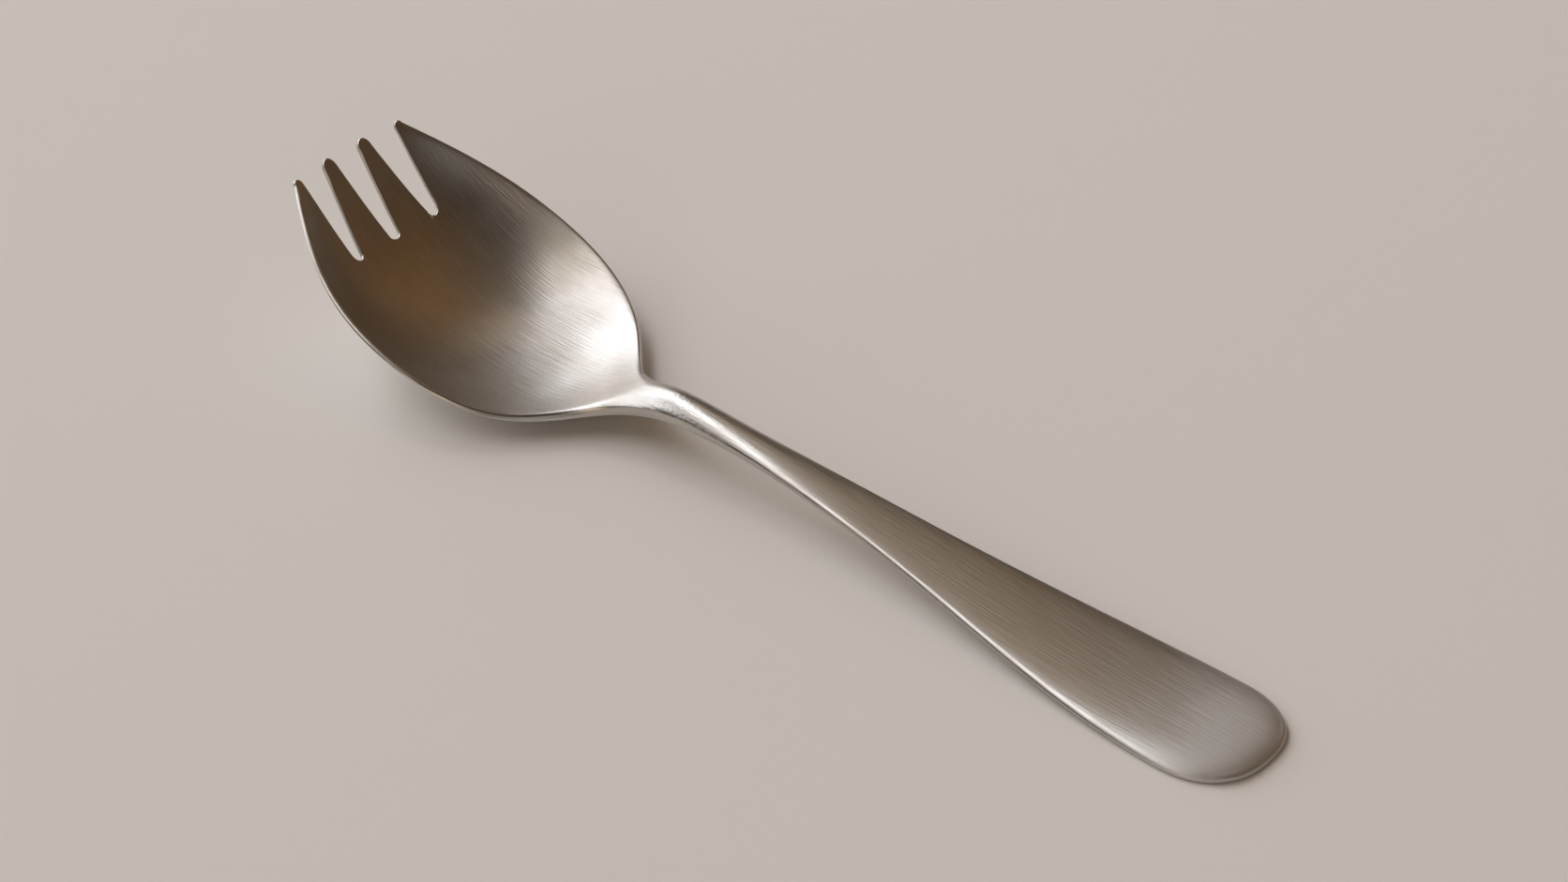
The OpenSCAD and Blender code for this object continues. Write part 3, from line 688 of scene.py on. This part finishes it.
def satin_brushed_stainless_steel(look):
    """Stainless steel, ground and then brushed lengthwise to a satin finish.

    Brushing gives the eye soft reflections that spread across the grain, fine lines along it, and patches
    that are a little rougher where hands and dishwater have rubbed. The end of the handle is rougher too,
    and is painted a brighter steel colour as a painted pool of light. Forging left small dimples on the
    neck and the ridge. The rounded edges are smoother.
    """
    material, tree, output = new_material("satin_brushed_stainless_steel")
    grain = add(tree, "ShaderNodeUVMap", uv_map="grain").outputs["UV"]
    place = add(tree, "ShaderNodeTexCoord").outputs["Object"]
    edge, handled_and_lit, forged = (add(tree, "ShaderNodeAttribute", attribute_name=name).outputs["Fac"]
                             for name in ("edge", "handled_and_lit", "forged"))

    def pattern(width, run, turn, detail):
        """Noise on the grain's coordinates, stretched to a width and a run, and turned from the grain."""
        turned = add(tree, "ShaderNodeMapping", {"Vector": grain, "Rotation": (0, 0, radians(turn))})
        scaled = add(tree, "ShaderNodeMapping", {"Vector": turned.outputs[0],
                                                 "Scale": (1 / width, 1 / run, 1)})
        noise = add(tree, "ShaderNodeTexNoise", {"Vector": scaled.outputs[0], "Scale": 1.0, "Detail": detail},
                    noise_dimensions="2D")
        return noise.outputs["Fac"]

    def ranged(value, low, high, to_low, to_high):
        """A value carried from one range to another, and kept inside it."""
        return add(tree, "ShaderNodeMapRange", {"Value": value, "From Min": low, "From Max": high,
                                                "To Min": to_low, "To Max": to_high}).outputs[0]

    def summed(a, times, b):
        """a times a number, plus b."""
        return add(tree, "ShaderNodeMath", {0: a, 1: times, 2: b}, operation="MULTIPLY_ADD").outputs[0]

    def dented(height, depth, strength, normal=None):
        """The normal of a surface dented by a height."""
        feeds = {"Height": height, "Strength": strength, "Distance": depth}
        return add(tree, "ShaderNodeBump", feeds | ({"Normal": normal} if normal else {})).outputs[0]

    lines = pattern(look.grain_w, look.grain_l, 0, BRUSH_DETAIL)
    streaks = pattern(look.streak_w, look.streak_l, 0, BRUSH_DETAIL)
    scratch = pattern(look.scratch_w, look.scratch_l, SCRATCH_TURN, SCRATCH_DETAIL)
    scratch = ranged(scratch, *SCRATCH_RANGE, 1.0, 0.0)
    patches = add(tree, "ShaderNodeTexNoise", {"Vector": place, "Scale": 1 / look.patch_l,
                                               "Detail": PATCH_DETAIL}).outputs["Fac"]
    drawn_out = add(tree, "ShaderNodeMapping", {"Vector": place, "Scale": (
        1 / look.dimple_w, 1 / look.dimple_l, 1 / look.dimple_w)}).outputs[0]
    dimples = add(tree, "ShaderNodeTexNoise", {"Vector": drawn_out, "Scale": 1.0,
                                               "Detail": DIMPLE_DETAIL}).outputs["Fac"]

    # The handle's end is pushed towards the bright steel colour as painted light, a painted pool of it, mixed
    # with the real random tone of the streaks and patches
    wear_and_painted_light = summed(handled_and_lit, HANDLED_PAINTED_LIGHT_SHARE, summed(streaks, STREAK_WEAR_SHARE, patches))
    wear_and_painted_light = ranged(wear_and_painted_light, *WEAR_AND_PAINTED_LIGHT_RANGE, 0.0, 1.0)
    # A mix of colours takes its share at socket 0 and the colours at 6 and 7, and gives them at output 2
    tone = add(tree, "ShaderNodeMix", {0: wear_and_painted_light, 6: (*look.toned, 1), 7: (*look.bright, 1)}, data_type="RGBA")
    rough = ranged(patches, *PATCH_RANGE, look.roughness + PATCH_ROUGHNESS, look.roughness - PATCH_ROUGHNESS)
    rough = summed(lines, LINE_ROUGHNESS, summed(handled_and_lit, look.handled_and_lit, rough))
    rough = summed(forged, -FORGED_SMOOTHING, rough)
    # The brush lines change the roughness about its mean, so half of their share is taken off again
    rough = add(tree, "ShaderNodeMath", {0: rough, 1: LINE_ROUGHNESS / 2}, operation="SUBTRACT").outputs[0]
    rough = summed(edge, -EDGE_SMOOTHING, rough)

    normal = dented(streaks, look.streak_depth, 1.0)
    normal = dented(dimples, look.dimple_depth, forged, normal)
    normal = dented(lines, look.grain_depth, 1.0, normal)
    normal = dented(scratch, look.scratch_depth, 1.0, normal)
    across = add(tree, "ShaderNodeTangent", direction_type="UV_MAP", uv_map="grain")
    steel = add(tree, "ShaderNodeBsdfPrincipled", {
        "Base Color": tone.outputs[2], "Metallic": 1.0, "Roughness": rough,
        "Anisotropic": look.stretch, "Tangent": across.outputs[0], "Normal": normal})
    tree.links.new(steel.outputs[0], output.inputs["Surface"])
    return material


def matt_paper(name, paint):
    """Plain matt paper: it gives the eye one pale colour and soft shadows."""
    material, tree, output = new_material(name)
    place = add(tree, "ShaderNodeTexCoord").outputs["Object"]
    fibres = add(tree, "ShaderNodeTexNoise", {"Vector": place, "Scale": 1 / (FIBRE_L * MM),
                                              "Detail": FIBRE_DETAIL})
    bump = add(tree, "ShaderNodeBump", {"Height": fibres.outputs["Fac"], "Strength": FIBRE_STRENGTH,
                                        "Distance": FIBRE_DEPTH * MM})
    paper = add(tree, "ShaderNodeBsdfPrincipled", {
        "Base Color": (*paint, 1), "Roughness": PAPER_ROUGHNESS, "Normal": bump.outputs[0]})
    tree.links.new(paper.outputs[0], output.inputs["Surface"])
    return material


def direction(azimuth, elevation):
    """Unit vector towards an azimuth, clockwise from +Y, and an elevation, both in degrees."""
    flat = cos(radians(elevation))
    return Vector((flat * sin(radians(azimuth)), flat * cos(radians(azimuth)), sin(radians(elevation))))


def studio_air(strength):
    """Dim air with soft glows.

    Each adds its colour times exp(k (cos(angle) - 1)) round its direction, where k is 1 / (1 - cos(spread)).
    """
    world = bpy.data.worlds.new("studio_air")
    world.use_nodes = True
    tree = world.node_tree
    tree.nodes.clear()
    ray = add(tree, "ShaderNodeTexCoord").outputs["Generated"]
    light = linear(DIM_AIR)
    for azimuth, elevation, spread, code, brightness in GLOWS:
        k = 1 / (1 - cos(radians(spread)))
        near = add(tree, "ShaderNodeVectorMath", {0: ray, 1: direction(azimuth, elevation)},
                   operation="DOT_PRODUCT").outputs["Value"]
        power = add(tree, "ShaderNodeMath", {0: near, 1: k, 2: -k}, operation="MULTIPLY_ADD").outputs[0]
        fall = add(tree, "ShaderNodeMath", {0: power}, operation="EXPONENT").outputs[0]
        glow = add(tree, "ShaderNodeVectorMath", {0: Vector(linear(code)) * brightness, "Scale": fall},
                   operation="SCALE").outputs[0]
        light = add(tree, "ShaderNodeVectorMath", {0: light, 1: glow}, operation="ADD").outputs[0]
    back = add(tree, "ShaderNodeBackground", {"Color": light, "Strength": strength})
    add(tree, "ShaderNodeOutputWorld", {"Surface": back.outputs[0]})
    return world


class SPORK_OT_spork(bpy.types.Operator):
    """Draw the spork as one closed surface with its brushed finish."""
    bl_idname = "spork.spork"
    bl_label = "Spork"

    def execute(self, context):
        look = context.scene.steel_look
        points, faces, uv, shares = spork_surface(context.scene.spork_sizes, look.handled_and_lit_l, look.forged_l)
        mesh = bpy.data.meshes.new("spork_body")
        mesh.from_pydata(points.tolist(), [], faces.tolist(), shade_flat=False)
        mesh.uv_layers.new(name="grain").uv.foreach_set("vector", uv.ravel())
        for name, values in shares.items():
            mesh.attributes.new(name, "FLOAT", "POINT").data.foreach_set("value", values)
        mesh.materials.append(satin_brushed_stainless_steel(look))
        spork = bpy.data.objects.new("spork_body", mesh)
        context.scene.collection.objects.link(spork)
        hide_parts("spork")
        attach(spork, "root")
        return {"FINISHED"}


class SPORK_OT_stage(bpy.types.Operator):
    """Lay the floor, light the air, hang the lamp and set the camera at the photograph's viewing angle."""
    bl_idname = "spork.stage"
    bl_label = "Stage"

    def execute(self, context):
        scene = context.scene
        look = scene.stage_look
        turns = np.linspace(0, 2 * np.pi, FLOOR_SIDES, endpoint=False)
        rim = look.floor_r * np.stack([np.cos(turns), np.sin(turns), 0 * turns], axis=-1)
        mesh = bpy.data.meshes.new("floor")
        mesh.from_pydata(rim.tolist(), [], [list(range(len(rim)))])
        mesh.materials.append(matt_paper("matt_paper_floor", look.floor))
        floor = bpy.data.objects.new("floor", mesh)
        scene.collection.objects.link(floor)

        scene.world = studio_air(look.air)
        self.hang_window_lamp(scene, look.window)

        eye = bpy.data.cameras.new("camera")
        eye.sensor_width = SENSOR_W
        eye.sensor_fit = "HORIZONTAL"
        eye.lens = look.lens
        eye.clip_start = VIEW_START * MM
        camera = bpy.data.objects.new("camera", eye)
        camera.location = look.eye
        camera.rotation_euler = Euler((radians(90) - look.elevation, 0, look.azimuth))
        scene.collection.objects.link(camera)
        scene.camera = camera
        scene.view_settings.view_transform = "Standard"
        return {"FINISHED"}

    def hang_window_lamp(self, scene, brightness):
        """A soft lamp that looks at the spork. Its power is its brightness times pi times its area."""
        light = bpy.data.lights.new("window_lamp", "AREA")
        light.shape = "RECTANGLE"
        light.size, light.size_y = WINDOW_SIZE
        light.energy = brightness * pi * WINDOW_SIZE[0] * WINDOW_SIZE[1]
        light.color = linear(WINDOW_COLOUR)
        lamp = bpy.data.objects.new("window_lamp", light)
        towards = direction(WINDOW_AZIMUTH, WINDOW_ELEVATION)
        lamp.location = WINDOW_DISTANCE * towards
        lamp.rotation_euler = towards.to_track_quat("Z", "Y").to_euler()
        scene.collection.objects.link(lamp)


class SPORK_PT_panel(bpy.types.Panel):
    """Lists what can be drawn."""
    bl_label = "Spork"
    bl_idname = "SPORK_PT_panel"
    bl_space_type = "VIEW_3D"
    bl_region_type = "UI"
    bl_category = "Spork"

    def draw(self, context):
        for operator in OPERATORS:
            self.layout.operator(operator.bl_idname)
        for group in (context.scene.spork_sizes, context.scene.steel_look, context.scene.stage_look):
            box = self.layout.box()
            for name in group.__annotations__:
                box.prop(group, name)


GROUPS = {"spork_sizes": SporkSizes, "steel_look": SteelLook, "stage_look": StageLook}
OPERATORS = (SPORK_OT_spork, SPORK_OT_stage)


def register():
    """Make the groups, operators and panel known, with the groups' places on the scene."""
    for group in GROUPS.values():
        bpy.utils.register_class(group)
    for name, group in GROUPS.items():
        setattr(bpy.types.Scene, name, PointerProperty(type=group))
    for kind in (*OPERATORS, SPORK_PT_panel):
        bpy.utils.register_class(kind)


def unregister():
    """Take them away again, in the opposite order."""
    for kind in (SPORK_PT_panel, *reversed(OPERATORS)):
        bpy.utils.unregister_class(kind)
    for name in GROUPS:
        delattr(bpy.types.Scene, name)
    for group in reversed(GROUPS.values()):
        bpy.utils.unregister_class(group)


def main():
    """Draw the spork and its stage."""
    register()
    bpy.ops.spork.spork()
    bpy.ops.spork.stage()


if __name__ == "__main__":
    main()
